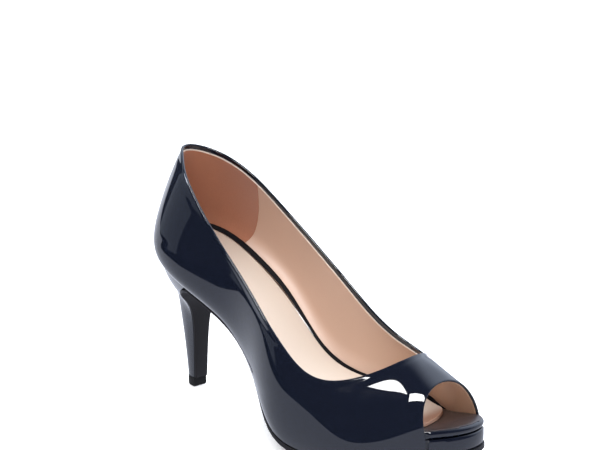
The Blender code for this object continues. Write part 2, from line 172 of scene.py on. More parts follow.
def reflection_card(name, low, high, height, glow):
    """A level card from one corner to another. Only glossy rays see it."""
    bpy.ops.mesh.primitive_plane_add(size=1.0, location=(0, 0, 0))
    card = bpy.context.object
    card.name = name
    for vertex in card.data.vertices:
        share = vertex.co + Vector((0.5, 0.5, 0.0))
        vertex.co = (low[0] + (high[0] - low[0]) * share.x,
                     low[1] + (high[1] - low[1]) * share.y, height)
    paint = bpy.data.materials.new(name + "_paint")
    paint.use_nodes = True
    shader = paint.node_tree.nodes["Principled BSDF"]
    shader.inputs["Base Color"].default_value = (0, 0, 0, 1)
    shader.inputs["Specular IOR Level"].default_value = 0.0
    shader.inputs["Emission Color"].default_value = (*glow, 1)
    shader.inputs["Emission Strength"].default_value = 1.0
    card.data.materials.append(paint)
    card.visible_camera = False
    card.visible_diffuse = False
    card.visible_shadow = False
    card.visible_transmission = False
    print(name, "lies at", round(height / MM, 1), "mm")


FAR = 4.6
TABLE_EDGE = -0.37
TABLE_LIFT = 0.4 * MM
FLAG_HEIGHT = 0.088
CARDS = (
    # name, low corner, high corner, height, glow
    ("table", (-FAR, TABLE_EDGE), (FAR, FAR), TABLE_LIFT, (1.00, 1.05, 1.20)),
    ("dark_floor", (-FAR, -FAR), (FAR, TABLE_EDGE), TABLE_LIFT, (0.020, 0.023, 0.034)),
    ("flag", (0.03, -0.14), (0.190, -0.048), FLAG_HEIGHT, (0.035, 0.040, 0.060)),
)
for name, low, high, height, glow in CARDS:
    reflection_card(name, low, high, height, glow)

# %% [markdown]
# ## Lamps and panes
# Two soft lamps light the shoe and are kept out of its reflections. Five panes are the other way
# round: they show in the gloss and light nothing, so each can be moved without changing the shading.
# One set of lamps for both would be nearer to a real studio, but much harder to match.

# %% Lamps


def soft_lamp(name, place, aim, width, height, watts, tint=(1, 1, 1), lights=True, reflects=True):
    """A flat studio lamp that looks from its place at its aim."""
    bpy.ops.object.light_add(type="AREA", location=place)
    lamp = bpy.context.object
    lamp.name = name
    lamp.data.shape = "RECTANGLE"
    lamp.data.size = width
    lamp.data.size_y = height
    lamp.data.energy = watts
    lamp.data.color = tint
    direction = Vector(aim) - Vector(place)
    lamp.rotation_euler = direction.to_track_quat("-Z", "Y").to_euler()
    lamp.visible_glossy = reflects
    lamp.visible_diffuse = lights
    print(name, "is", round(direction.length, 2), "m away")


SHOE_MIDDLE = (0.10, 0.0, 0.05)


def around_shoe(azimuth, elevation, distance):
    """A place seen from the shoe's middle in a direction given in degrees."""
    azimuth, elevation = math.radians(azimuth), math.radians(elevation)
    flat = math.cos(elevation) * distance
    return Vector(SHOE_MIDDLE) + Vector((math.cos(azimuth) * flat, math.sin(azimuth) * flat,
                                         math.sin(elevation) * distance))


PANE_DISTANCE = 1.3
LAMPS = (
    # name, place, width, height, watts
    ("wide_top", (0.1, 0.0, 2.2), 3.0, 3.0, 88),
    ("camera_fill", (1.2, -1.4, 1.1), 1.2, 1.2, 18),
)
BLUISH = (0.76, 0.85, 1.0)
PANES = (
    # name, azimuth, elevation, width, height, watts, tint
    ("pane_rear", -121, 55.5, 1.05, 0.25, 26, (1, 1, 1)),
    ("pane_front", -48, 50, 0.62, 0.32, 22, (1, 1, 1)),
    ("pane_fold", -155, 37, 0.29, 0.41, 4.0, BLUISH),
    ("pane_back", 176, 33, 0.60, 0.35, 2.0, BLUISH),
    ("grey_wall", -152, 14, 1.16, 0.65, 1.1, BLUISH),
)
for name, place, width, height, watts in LAMPS:
    soft_lamp(name, place, SHOE_MIDDLE, width, height, watts, reflects=False)
for name, azimuth, elevation, width, height, watts, tint in PANES:
    soft_lamp(name, around_shoe(azimuth, elevation, PANE_DISTANCE), SHOE_MIDDLE, width, height, watts,
              tint, lights=False)

# %% [markdown]
# ## Surroundings
# The rest of the room is dark, with one soft glow over the inner side that fades into it. Another
# lamp could make that glow, but its edge would show in the gloss. A glow in the world has no edge.

# %% Surroundings: dark, with a soft glow over the inner side
DARK_ROOM = (0.045, 0.050, 0.070, 1)
SOFT_GLOW = (1.9, 2.1, 2.5, 1)
GLOW_TOWARDS = (0.0, 0.80, 0.60)
GLOW_START, GLOW_FULL = 0.55, 1.0     # cosines of the angle to that direction

world = bpy.data.worlds.new("studio")
world.use_nodes = True
scene.world = world
sky = world.node_tree
look = sky.nodes.new("ShaderNodeTexCoord")
towards = sky.nodes.new("ShaderNodeVectorMath")
towards.operation = "DOT_PRODUCT"
towards.inputs[1].default_value = GLOW_TOWARDS
spread = sky.nodes.new("ShaderNodeMapRange")
spread.interpolation_type = "SMOOTHSTEP"
spread.inputs["From Min"].default_value = GLOW_START
spread.inputs["From Max"].default_value = GLOW_FULL
room = sky.nodes.new("ShaderNodeMix")
room.data_type = "RGBA"
room.inputs["A"].default_value = DARK_ROOM
room.inputs["B"].default_value = SOFT_GLOW
sky.links.new(look.outputs["Generated"], towards.inputs[0])
sky.links.new(towards.outputs["Value"], spread.inputs["Value"])
sky.links.new(spread.outputs["Result"], room.inputs["Factor"])
sky.links.new(room.outputs["Result"], sky.nodes["Background"].inputs["Color"])
scene.view_settings.view_transform = "Standard"
print("glow towards", GLOW_TOWARDS)

# %% [markdown]
# ## Finishes
# Each finish is a Principled shader with its own small surface detail. All of them share a fine
# grain, and patent leather also has a slow ripple that bends its reflections, as on any hand-lasted
# skin. Both could be modelled, but at this size a bump is enough, and one node group makes both.

# %% Node group for the relief of a skin


RELIEFS = (
    # kind, detail of its noise, depth
    ("Ripple", 1.0, 1.0 * MM),
    ("Grain", 4.0, 0.1 * MM),
)


def relief_group():
    """A group that turns object coordinates into a mask of grain and a relief of two sizes."""
    group = bpy.data.node_groups.new("skin_relief", "ShaderNodeTree")
    for name in ("Grain Size", "Grain Strength", "Ripple Size", "Ripple Strength"):
        group.interface.new_socket(name, in_out="INPUT", socket_type="NodeSocketFloat")
    group.interface.new_socket("Mask", in_out="OUTPUT", socket_type="NodeSocketFloat")
    group.interface.new_socket("Normal", in_out="OUTPUT", socket_type="NodeSocketVector")
    entry = group.nodes.new("NodeGroupInput")
    leave = group.nodes.new("NodeGroupOutput")
    place = group.nodes.new("ShaderNodeTexCoord")
    link = group.links.new
    last = None
    for kind, detail, depth in RELIEFS:
        shrink = group.nodes.new("ShaderNodeMath")
        shrink.operation = "DIVIDE"
        shrink.inputs[0].default_value = 1.0
        noise = group.nodes.new("ShaderNodeTexNoise")
        noise.inputs["Detail"].default_value = detail
        relief = group.nodes.new("ShaderNodeBump")
        relief.inputs["Distance"].default_value = depth
        link(entry.outputs[kind + " Size"], shrink.inputs[1])
        link(place.outputs["Object"], noise.inputs["Vector"])
        link(shrink.outputs[0], noise.inputs["Scale"])
        link(noise.outputs["Fac"], relief.inputs["Height"])
        link(entry.outputs[kind + " Strength"], relief.inputs["Strength"])
        if last:
            link(last.outputs["Normal"], relief.inputs["Normal"])
        last = relief
    link(noise.outputs["Fac"], leave.inputs["Mask"])
    link(last.outputs["Normal"], leave.inputs["Normal"])
    return group


skin_relief = relief_group()
print("groups:", [group.name for group in bpy.data.node_groups])

# %% [markdown]
# ## One maker for all finishes
# Leather, suede, rubber and cloth differ here in colour, roughness, grain and shine only. Each could
# be a material of its own, but one function keeps them alike, and a change is made in one place.

# %% A maker for finishes


def finish(name, colour, roughness, grain, tone=0.15, ripple=(20 * MM, 0.0), shine=0.5, sheen=0.0,
           toe_shade=None):
    """A material with two tones of one colour. Grain and ripple are a size and a strength.

    The last argument is a painted shade for the inside of the toe box: a darker colour and the two
    lengths along the shoe between which it takes over.
    """
    made = bpy.data.materials.new(name)
    made.use_nodes = True
    tree = made.node_tree
    shader = tree.nodes["Principled BSDF"]
    surface = tree.nodes.new("ShaderNodeGroup")
    surface.node_tree = skin_relief
    surface.inputs["Grain Size"].default_value, surface.inputs["Grain Strength"].default_value = grain
    surface.inputs["Ripple Size"].default_value, surface.inputs["Ripple Strength"].default_value = ripple
    blend = tree.nodes.new("ShaderNodeMix")
    blend.data_type = "RGBA"
    blend.inputs["A"].default_value = (*[c * (1 - tone) for c in colour], 1)
    blend.inputs["B"].default_value = (*[min(c * (1 + tone), 1) for c in colour], 1)
    tree.links.new(surface.outputs["Mask"], blend.inputs["Factor"])
    last = blend
    # Painted shade: along the shoe the colour turns to a darker one towards the toe, where shade falls
    # inside the toe box.
    if toe_shade:
        second, start, end = toe_shade
        place = tree.nodes.new("ShaderNodeTexCoord")
        axes = tree.nodes.new("ShaderNodeSeparateXYZ")
        along = tree.nodes.new("ShaderNodeMapRange")
        along.interpolation_type = "SMOOTHSTEP"
        along.inputs["From Min"].default_value = start
        along.inputs["From Max"].default_value = end
        last = tree.nodes.new("ShaderNodeMix")
        last.data_type = "RGBA"
        last.inputs["B"].default_value = (*second, 1)
        tree.links.new(place.outputs["Object"], axes.inputs["Vector"])
        tree.links.new(axes.outputs["X"], along.inputs["Value"])
        tree.links.new(along.outputs["Result"], last.inputs["Factor"])
        tree.links.new(blend.outputs["Result"], last.inputs["A"])
    tree.links.new(last.outputs["Result"], shader.inputs["Base Color"])
    tree.links.new(surface.outputs["Normal"], shader.inputs["Normal"])
    shader.inputs["Roughness"].default_value = roughness
    shader.inputs["Sheen Weight"].default_value = sheen
    shader.inputs["Specular IOR Level"].default_value = shine
    return made


# %% The finishes
navy_patent = finish("navy_patent", (0.0055, 0.0074, 0.0145), 0.04, (2.5 * MM, 0.003), tone=0.05,
                     ripple=(22 * MM, 0.06))
# The lining darkens towards the toe: painted shade inside the toe box.
lining_tan = finish("lining_tan", (0.59, 0.40, 0.30), 0.5, (0.25 * MM, 0.25), tone=0.05,
                    toe_shade=((0.41, 0.235, 0.150), 0.100, 0.145))
# A pale colour for the lining's cut edge: a painted highlight where that edge catches the light.
lining_edge_highlight = finish("lining_edge_highlight", (0.80, 0.66, 0.56), 0.7, (0.2 * MM, 0.2), tone=0.05)
suede_brown = finish("suede_brown", (0.37, 0.140, 0.070), 0.95, (0.3 * MM, 0.6), tone=0.25, sheen=0.25)
# The sock's front turns orange-brown: painted shade inside the toe box, warmed as by light bounced off
# the tan lining.
cream_sock = finish("cream_sock", (0.68, 0.59, 0.505), 0.5, (0.35 * MM, 0.25), tone=0.04,
                    toe_shade=((0.48, 0.27, 0.18), 0.155, 0.176))
# Near black: the footbed strip is partly a dark cover and partly painted shade in the gap beside the
# sock.
strip_cover_and_shade = finish("strip_cover_and_shade", (0.007, 0.006, 0.008), 0.7, (0.3 * MM, 0.25), tone=0.15, shine=0.05)
board_satin = finish("board_satin", (0.030, 0.021, 0.021), 0.35, (0.3 * MM, 0.25), tone=0.15)
sole_black = finish("sole_black", (0.010, 0.009, 0.011), 0.5, (0.3 * MM, 0.3), tone=0.2, shine=0.15)
rubber_black = finish("rubber_black", (0.009, 0.009, 0.010), 0.6, (0.2 * MM, 0.3), tone=0.2, shine=0.10)
print("finishes:", len(bpy.data.materials))

# %% [markdown]
# ## Reading the lasted shape
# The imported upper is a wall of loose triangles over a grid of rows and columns. Once doubles are
# merged, its rows can be walked one after the other from the topline down, because every point of a
# row touches only its own row and the next ones. That grid then works as the last: any pattern piece
# can be laid on it by column and row. The skin could be modelled freely, but then it would not lie
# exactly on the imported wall.

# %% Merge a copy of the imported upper


DOUBLES = 0.01 * MM


def merged_copy(node, name):
    """A copy of a CAD node with its doubles merged."""
    source = nodes[node]
    piece = source.copy()
    piece.data = source.data.copy()
    piece.name = piece.data.name = name
    for key in list(piece.keys()):
        del piece[key]
    piece.parent = None
    scene.collection.objects.link(piece)
    piece.hide_viewport = piece.hide_render = False
    piece.hide_set(False)
    in_edit_mode(piece)
    bpy.ops.mesh.remove_doubles(threshold=DOUBLES)
    bpy.ops.mesh.customdata_custom_splitnormals_clear()
    leave_edit_mode()
    return piece


pattern = merged_copy("upper", "pattern")
points = np.array([vertex.co for vertex in pattern.data.vertices])
print("merged points:", len(points))

# %% Find the rims, which are the sharp edges
RIM_ANGLE = math.radians(50)

in_edit_mode(pattern)
bpy.ops.mesh.select_all(action="DESELECT")
bpy.ops.mesh.select_mode(type="EDGE")
bpy.ops.mesh.edges_select_sharp(sharpness=RIM_ANGLE)
leave_edit_mode()

neighbours = [set() for _ in points]
rim_neighbours = [set() for _ in points]
for edge in pattern.data.edges:
    a, b = edge.vertices
    neighbours[a].add(b)
    neighbours[b].add(a)
    if edge.select:
        rim_neighbours[a].add(b)
        rim_neighbours[b].add(a)


def joined(start, links):
    """All points that can be reached from one point."""
    found = {start}
    edge_of_search = [start]
    while edge_of_search:
        near = links[edge_of_search.pop()] - found
        found |= near
        edge_of_search += near
    return found


rims = []
left = {i for i, near in enumerate(rim_neighbours) if near}
while left:
    rims.append(joined(min(left), rim_neighbours))
    left -= rims[-1]
print("rims:", [len(rim) for rim in rims])

# %% Walk the rows from the topline to the sole


def around(row, first):
    """The points of one closed row in order, towards the inner side first."""
    ordered = [first]
    near = sorted(neighbours[first] & row, key=lambda i: -points[i][1])
    ordered.append(near[0])
    while len(ordered) < len(row):
        step = (neighbours[ordered[-1]] & row) - set(ordered)
        ordered.append(step.pop())
    return ordered


BACK_LINE = 1.0 * MM


def heel_back(row):
    """The point of a row on the line down the back of the heel."""
    middle = np.mean([points[i][0] for i in row])
    rear = [i for i in row if points[i][0] < middle]
    return min(rear, key=lambda i: abs(points[i][1] - BACK_LINE))


toplines = sorted(rims, key=lambda rim: -np.mean([points[i][2] for i in rim]))[:2]


def girth(row):
    """Length of a closed row."""
    ordered = points[around(row, heel_back(row))]
    return np.linalg.norm(ordered - np.roll(ordered, 1, axis=0), axis=1).sum()


outer_top = max(toplines, key=girth)
inner_top = min(toplines, key=girth)
rows = [around(outer_top, heel_back(outer_top))]
seen = set(outer_top) | set(inner_top)
while True:
    row = set().union(*[neighbours[i] for i in rows[-1]]) - seen
    lower_rim = any(rim_neighbours[i] for i in row)
    rows.append(around(row, heel_back(row)))
    seen |= row
    if lower_rim:
        break
grid = points[np.array(rows[::-1])]
bpy.data.objects.remove(pattern)
ROWS, COLUMNS = grid.shape[:2]
print("grid of", ROWS, "rows and", COLUMNS, "columns")

# %% [markdown]
# ## The last as a smooth surface
# Cubic curves through the rows and columns give the surface between the grid's points. The column
# where the toe opening meets the sole is a true corner of the pattern, so the curves along the rows
# stop there and start again.

# %% Cubic curves through evenly spaced knots


def curve_bends(knots):
    """How much a curve bends at each knot. It bends at its ends as at the knots beside them."""
    n = len(knots)
    system = np.eye(n) * 4 + np.eye(n, k=1) + np.eye(n, k=-1)
    system[0, :2] = 1, -1
    system[-1, -2:] = -1, 1
    load = np.zeros_like(knots)
    load[1:-1] = 6 * (knots[:-2] - 2 * knots[1:-1] + knots[2:])
    return np.linalg.solve(system, load.reshape(n, -1)).reshape(knots.shape)


def cubic(t, low, high, low_bend, high_bend):
    """A point between two knots, at a share t of the way."""
    rest = 1 - t
    return (rest * low + t * high
            + ((rest ** 3 - rest) * low_bend + (t ** 3 - t) * high_bend) / 6)


def on_curve(knots, bends, at):
    """Points of a curve at places counted in knots."""
    i = np.clip(np.floor(at).astype(int), 0, len(knots) - 2)
    return cubic((at - i)[..., None], knots[i], knots[i + 1], bends[i], bends[i + 1])


# %% Find the opening's corner columns
bottom = grid[0]
run = np.roll(bottom, -1, axis=0) - bottom
run = run / np.linalg.norm(run, axis=1, keepdims=True)
turning = np.einsum("ij,ij->i", run, np.roll(run, 1, axis=0))
corners = np.sort(np.argsort(turning)[:2])
INNER_CORNER, OUTER_CORNER = int(corners[0]), int(corners[1])
print("opening's corners at columns", INNER_CORNER, OUTER_CORNER)

# %% A point on the upper by column and row
heel_part = np.concatenate([grid[:, OUTER_CORNER:], grid[:, :INNER_CORNER + 1]], axis=1)
toe_part = grid[:, INNER_CORNER:OUTER_CORNER + 1]


def row_points(column):
    """All rows' points at given columns, as an array of rows, places and coordinates."""
    column = np.asarray(column, float) % COLUMNS
    at_toe = (column > INNER_CORNER) & (column < OUTER_CORNER)
    heel_place = (column - OUTER_CORNER) % COLUMNS
    toe_place = column - INNER_CORNER
    found = np.empty((ROWS, len(column), 3))
    for part, place, here in ((heel_part, heel_place, ~at_toe), (toe_part, toe_place, at_toe)):
        if here.any():
            knots = part.transpose(1, 0, 2)
            found[:, here] = on_curve(knots.reshape(len(knots), -1),
                                      curve_bends(knots).reshape(len(knots), -1),
                                      place[here]).reshape(-1, ROWS, 3).transpose(1, 0, 2)
    return found


def surface(column, row):
    """Points at columns (one per place) and rows (an array of levels and places)."""
    knots = row_points(column)
    bends = curve_bends(knots)
    row = np.asarray(row, float)
    i = np.clip(np.floor(row).astype(int), 0, ROWS - 2)
    place = np.broadcast_to(np.arange(knots.shape[1]), row.shape)
    return cubic((row - i)[..., None], knots[i, place], knots[i + 1, place],
                 bends[i, place], bends[i + 1, place])


NORMAL_STEP = 0.02


def outward(column, row):
    """The surface's outward normals at the same places."""
    column = np.asarray(column, float)
    along = surface(column + NORMAL_STEP, row) - surface(column - NORMAL_STEP, row)
    over = surface(column, row + NORMAL_STEP) - surface(column, row - NORMAL_STEP)
    normal = np.cross(over, along)
    return normal / np.linalg.norm(normal, axis=-1, keepdims=True)


# %% Distances from the topline and from the lower edge
COLUMN_STEP = 0.25
STEPS_PER_ROW = 8

fine_columns = np.arange(0, COLUMNS, COLUMN_STEP)
fine_rows = np.linspace(0, ROWS - 1, STEPS_PER_ROW * (ROWS - 1) + 1)
sheet = surface(fine_columns, np.repeat(fine_rows[:, None], len(fine_columns), axis=1))


def distance_to(line):
    """Distance of every point of the sheet from a closed line."""
    closed = np.concatenate([line, line[:1]])
    start, step = closed[:-1], np.diff(closed, axis=0)
    best = np.full(sheet.shape[:2], np.inf)
    for a, d in zip(start, step):
        share = np.clip(((sheet - a) @ d) / (d @ d), 0, 1)
        best = np.minimum(best, np.linalg.norm(sheet - a - share[..., None] * d, axis=-1))
    return best


to_topline = distance_to(sheet[-1])
to_edge = distance_to(sheet[0])
print("deepest point under the topline:", round(to_topline.max() * 1000), "mm")


def at_columns(table, columns):
    """A table over the sheet, read at any columns."""
    at = np.asarray(columns, float) % COLUMNS / COLUMN_STEP
    low = np.floor(at).astype(int) % len(fine_columns)
    high = (low + 1) % len(fine_columns)
    share = at - np.floor(at)
    return table[:, low] * (1 - share) + table[:, high] * share


def row_at(columns, distance, from_top=True):
    """The row at a distance from the topline, or from the lower edge."""
    table = to_topline[::-1] if from_top else to_edge
    levels = fine_rows[::-1] if from_top else fine_rows
    return np.array([np.interp(distance, np.maximum.accumulate(climb), levels)
                     for climb in at_columns(table, columns).T])


def distance_at(columns, levels):
    """Distance from the topline at columns and rows."""
    return np.array([np.interp(places, fine_rows, below)
                     for places, below in zip(levels.T, at_columns(to_topline, columns).T)]).T


def from_heel_back(columns):
    """Columns counted from the back of the heel, with the outer side negative."""
    return (np.asarray(columns, float) + COLUMNS / 2) % COLUMNS - COLUMNS / 2


# %% [markdown]
# ## Laying a pattern piece on the last
# Every leather piece starts as a flat grid, like its cut pattern. Its rows and columns are then laid
# on the last: each row has its own distance from an edge and its own depth behind the outer face. A
# row's depth is what folds the leather over an edge. A shrinkwrap could press a grid on the last too,
# but it slides where the wall is steep, and it can't fold.

# %% Lay a grid on the upper


LAID_DOUBLES = 0.002 * MM


def lay(name, columns, levels, depths, closed_round):
    """A grid primitive laid on the last. levels and depths are arrays of levels and places."""
    columns = np.asarray(columns, float)
    if closed_round:
        columns = np.append(columns, columns[0] + COLUMNS)
        levels = np.concatenate([levels, levels[:, :1]], axis=1)
        depths = np.concatenate([depths, depths[:, :1]], axis=1)
    levels = np.concatenate([levels, levels[:1]])
    depths = np.concatenate([depths, depths[:1]])
    across, over = len(columns), len(levels)
    bpy.ops.mesh.primitive_grid_add(x_subdivisions=across - 1, y_subdivisions=over - 1, size=1.0)
    piece = bpy.context.object
    piece.name = piece.data.name = name
    place = surface(columns, levels) - outward(columns, levels) * depths[..., None]
    piece.data.vertices.foreach_set("co", place.reshape(-1).astype(np.float32))
    in_edit_mode(piece)
    bpy.ops.mesh.remove_doubles(threshold=LAID_DOUBLES)
    bpy.ops.mesh.normals_make_consistent(inside=False)
    leave_edit_mode()
    work_on(piece)
    bpy.ops.object.shade_smooth()
    return piece


# %% [markdown]
# ## The patent upper
# Patent leather is folded over at the topline and at the toe opening, so both edges are round and a
# narrow band of it shows inside. The piece is one closed skin: up the outer face, round the fold at
# the top, down the inner face, and round the fold at the bottom. The hand-lasted skin isn't perfect:
# it sinks a little beside the fold, dips softly at the heel's sides, and a closed seam runs down the
# inner side. These are placed as soft troughs, in the shoe's own sizes. Sculpting could do
# it too, but troughs with a place and a depth are easy to read and to change.

# %% Seam, troughs and dents of the outer face
SEAM_COLUMN = 26.4
SEAM_DEPTH = 0.35 * MM
SEAM_WIDTH = 0.35 * MM
COLUMN_PITCH = 5.4 * MM
BESIDE_FOLD = (
    # distance from the topline, width, depth: a bead over the fold, then a trough under it
    (1.0 * MM, 0.9 * MM, -0.28 * MM),
    (3.6 * MM, 1.3 * MM, 0.14 * MM),
)
DENTS = (
    # column, row, width, height, depth
    (81.0, 5.2, 7.0 * MM, 3.5 * MM, 0.30 * MM),
    (80.4, 10.6, 5.0 * MM, 3.0 * MM, 0.22 * MM),
    (77.0, 7.5, 9.0 * MM, 3.0 * MM, 0.15 * MM),
    (11.5, 5.6, 8.0 * MM, 4.0 * MM, 0.28 * MM),
    (70.0, 4.0, 14.0 * MM, 4.0 * MM, 0.18 * MM),
)


def outer_relief(columns, levels):
    """How far the outer face lies behind the last's surface."""
    below = distance_at(columns, levels)
    relief = sum(depth * np.exp(-((below - centre) / width) ** 2)
                 for centre, width, depth in BESIDE_FOLD)
    place = surface(columns, levels)
    for column, row, wide, tall, depth in DENTS:
        gap = place - surface([column], [[row]])[0, 0]
        reach = (gap[..., 0] ** 2 + gap[..., 1] ** 2) / wide ** 2 + gap[..., 2] ** 2 / tall ** 2
        relief = relief + depth * np.exp(-reach)
    aside = (np.asarray(columns) - SEAM_COLUMN) * COLUMN_PITCH / SEAM_WIDTH
    return relief + SEAM_DEPTH * np.exp(-aside ** 2)


# %% Columns and folds of the skin
SKIN = 1.2 * MM
ROLL_STEPS = 7
SEAM_STEPS = (-0.15, -0.10, -0.06, -0.03, 0.0, 0.03, 0.06, 0.10, 0.15)

skin_columns = np.union1d(fine_columns, SEAM_COLUMN + np.array(SEAM_STEPS))
top_fold = row_at(skin_columns, SKIN / 2)
low_fold = row_at(skin_columns, SKIN / 2, from_top=False)
turn = np.linspace(0, math.pi, ROLL_STEPS + 2)[1:-1]
print("skin columns:", len(skin_columns))

# %% Folds, faces and closed pieces


def rolled_edge(columns, thickness, from_top):
    """Rows and depths round a folded edge, from the outer to the inner face."""
    half = thickness / 2
    levels = []
    depths = []
    for angle in turn:
        reach = half - half * math.sin(angle)
        levels.append(row_at(columns, reach, from_top))
        depths.append(np.full(len(columns), half - half * math.cos(angle)))
    return np.array(levels), np.array(depths)


def between(low, high, steps, depth):
    """Rows and depths from one line to another."""
    share = np.linspace(0, 1, steps)[:, None]
    return low + (high - low) * share, np.full((steps, len(low)), depth)


def lay_loop(name, columns, parts, paint, closed_round=True):
    """Lay a piece whose rows come in parts, and give it its finish and body."""
    piece = lay(name, columns, np.concatenate([part[0] for part in parts]),
                np.concatenate([part[1] for part in parts]), closed_round)
    piece.data.materials.append(paint)
    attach(piece, "root")
    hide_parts("upper")
    count(piece)
    return piece


# %% Patent skin with folded edges
OUTER_STEPS = 52
INNER_STEPS = 20

outer_levels, outer_depths = between(low_fold, top_fold, OUTER_STEPS, 0.0)
outer_face = (outer_levels, outer_depths + outer_relief(skin_columns, outer_levels))
top_levels, top_depths = rolled_edge(skin_columns, SKIN, True)
fold_share = (1 + np.cos(turn))[:, None] / 2
top_edge = (top_levels, top_depths + outer_relief(skin_columns, top_levels) * fold_share)
inner_face = between(top_fold, low_fold, INNER_STEPS, SKIN)
low_levels, low_depths = rolled_edge(skin_columns, SKIN, False)
low_edge = (low_levels[::-1], low_depths[::-1])
lay_loop("patent_upper", skin_columns, (outer_face, top_edge, inner_face, low_edge),
         navy_patent)

# %% [markdown]
# ## The lining
# The lining is thin, stops short of both folded edges and ends on the board. It is padded near the
# board, most at the waist's inner side, so it comes forward there towards the footbed. It could be the
# skin's inner face in another colour, but then it would have no edge of its own.

# %% Where the wall meets the board
OVER_BOARD = 0.1 * MM
BOARD_END = 0.178
TOP_FACING = 0.55
LINING = 0.45 * MM
LINING_DEPTH = SKIN + 0.03 * MM
LINING_FACE = LINING_DEPTH + LINING
WALL_STEPS = 121
SEARCH_START = 20
SEARCH_STEP = 0.1
LOW_ROW = 0.5

board_mesh = nodes["insole_board"].data
top_points = {vertex for face in board_mesh.polygons if face.normal.z > TOP_FACING
              for vertex in face.vertices}
top_line = np.array(sorted((board_mesh.vertices[i].co.x, board_mesh.vertices[i].co.z)
                           for i in top_points))


def board_height(x):
    """Height of the board's top at a length. It is the same across the board."""
    return np.interp(x, top_line[:, 0], top_line[:, 1])


def height_over_board(columns, levels):
    """How high the lining's face is over the board, before any padding."""
    wall = surface(columns, levels) - outward(columns, levels) * LINING_FACE
    return wall[..., 2] - board_height(wall[..., 0])


def row_over_board(columns, lift):
    """The row in which the wall's inner face is at a height over the board."""
    rows = np.linspace(0, ROWS - 1, WALL_STEPS)
    over = height_over_board(columns, np.repeat(rows[:, None], len(columns), axis=1))
    return np.array([np.interp(lift, np.maximum.accumulate(column), rows) for column in over.T])


strip_span = min(column for column in np.arange(SEARCH_START, INNER_CORNER, SEARCH_STEP)
                 if surface([column], [[LOW_ROW]])[0, 0, 0] > BOARD_END)
print("the footbed's strip ends at column", round(strip_span, 1))

# %% The lining's padded face
WAIST_PAD = 2.5 * MM
PAD_HEIGHT = 11 * MM
PAD_SHARES = (
    # column, share of the waist pad
    (-30, 0.0), (-20, 0.3), (-5, 0.3), (5, 0.35), (10, 0.5), (14, 0.9),
    (18, 1.0), (22, 0.8), (26, 0.5), (29, 0.0),
)


def lining_face(columns, levels):
    """Depth of the lining's inner face, padded near the board."""
    at, share = np.array(PAD_SHARES).T
    along = np.interp(from_heel_back(columns), at, share)
    rise = np.clip(height_over_board(columns, levels) / PAD_HEIGHT, 0, 1)
    return LINING_FACE + WAIST_PAD * along * (1 - rise * rise * (3 - 2 * rise))


# %% Lining
TOP_MARGIN = 3.0 * MM
TOE_MARGIN = 1.3 * MM
LINING_COLUMN_STEP = 0.5
LINING_STEPS = 34
BACK_STEPS = 12
LINING_SHARP = 40

lining_columns = np.arange(0, COLUMNS, LINING_COLUMN_STEP)
lining_top = row_at(lining_columns, TOP_MARGIN)
lining_low = row_at(lining_columns, TOE_MARGIN, from_top=False)
behind_toe = np.abs(from_heel_back(lining_columns)) < strip_span
lining_low = np.where(behind_toe, row_over_board(lining_columns, OVER_BOARD), lining_low)
levels, depths = between(lining_low, lining_top, LINING_STEPS, 0.0)
lining = lay_loop("lining", lining_columns,
                  ((levels, lining_face(lining_columns, levels)),
                   between(lining_top, lining_low, BACK_STEPS, LINING_DEPTH)),
                  lining_tan)
smooth_up_to(lining, LINING_SHARP)

# %% [markdown]
# ## The pale edge line
# A narrow pale piece covers the lining's cut edge and draws a light line under the topline. Its pale
# colour is a painted highlight of that edge. It could be a stripe in the lining's finish, but a narrow
# piece that stands a little proud also catches the light.

# %% Pale edge line: its colour is a painted highlight
EDGE_LINE_HEIGHT = 0.42 * MM
EDGE_LINE_PROUD = 0.12 * MM
EDGE_LINE_STEPS = 3

edge_line_top = row_at(lining_columns, TOP_MARGIN - EDGE_LINE_PROUD)
edge_line_low = row_at(lining_columns, TOP_MARGIN + EDGE_LINE_HEIGHT)
lay_loop("lining_edge_highlight", lining_columns,
         (between(edge_line_low, edge_line_top, EDGE_LINE_STEPS, LINING_FACE + EDGE_LINE_PROUD),
          between(edge_line_top, edge_line_low, EDGE_LINE_STEPS, LINING_DEPTH)),
         lining_edge_highlight)

# %% [markdown]
# ## The heel grip
# A piece of brown suede is glued inside the heel to hold the foot. Its front edges slant forward on
# their way up, so in the columns past the lower corner it starts higher and higher on the wall. It
# could be cut from the lining with a knife tool, but laid as its own piece it has a real thickness.

# %% Heel grip
GRIP = 0.25 * MM
GRIP_LOW_COLUMN = 9.4
GRIP_TOP_COLUMN = 13.7
GRIP_MARGIN = TOP_MARGIN + EDGE_LINE_HEIGHT + 0.1 * MM
GRIP_COLUMN_STEP = 0.2
GRIP_STEPS = 24
GRIP_TAPER = 8
PAST_END = 0.01             # lets a range of columns reach its last value

grip_columns = np.arange(-GRIP_TOP_COLUMN, GRIP_TOP_COLUMN + PAST_END, GRIP_COLUMN_STEP)
grip_top = row_at(grip_columns, GRIP_MARGIN)
grip_low = row_over_board(grip_columns, OVER_BOARD)
slant = np.clip((np.abs(grip_columns) - GRIP_LOW_COLUMN) / (GRIP_TOP_COLUMN - GRIP_LOW_COLUMN), 0, 1)
grip_low = grip_low + (grip_top - grip_low) * slant
grip_front = between(grip_low, grip_top, GRIP_STEPS, GRIP)
grip_rear = between(grip_top, grip_low, BACK_STEPS, 0.0)
heel_grip = lay_loop("heel_grip", grip_columns,
                     [(levels, depths * (1 - slant ** GRIP_TAPER) + lining_face(grip_columns, levels))
                      for levels, depths in (grip_front, grip_rear)],
                     suede_brown, closed_round=False)
smooth_up_to(heel_grip, LINING_SHARP)

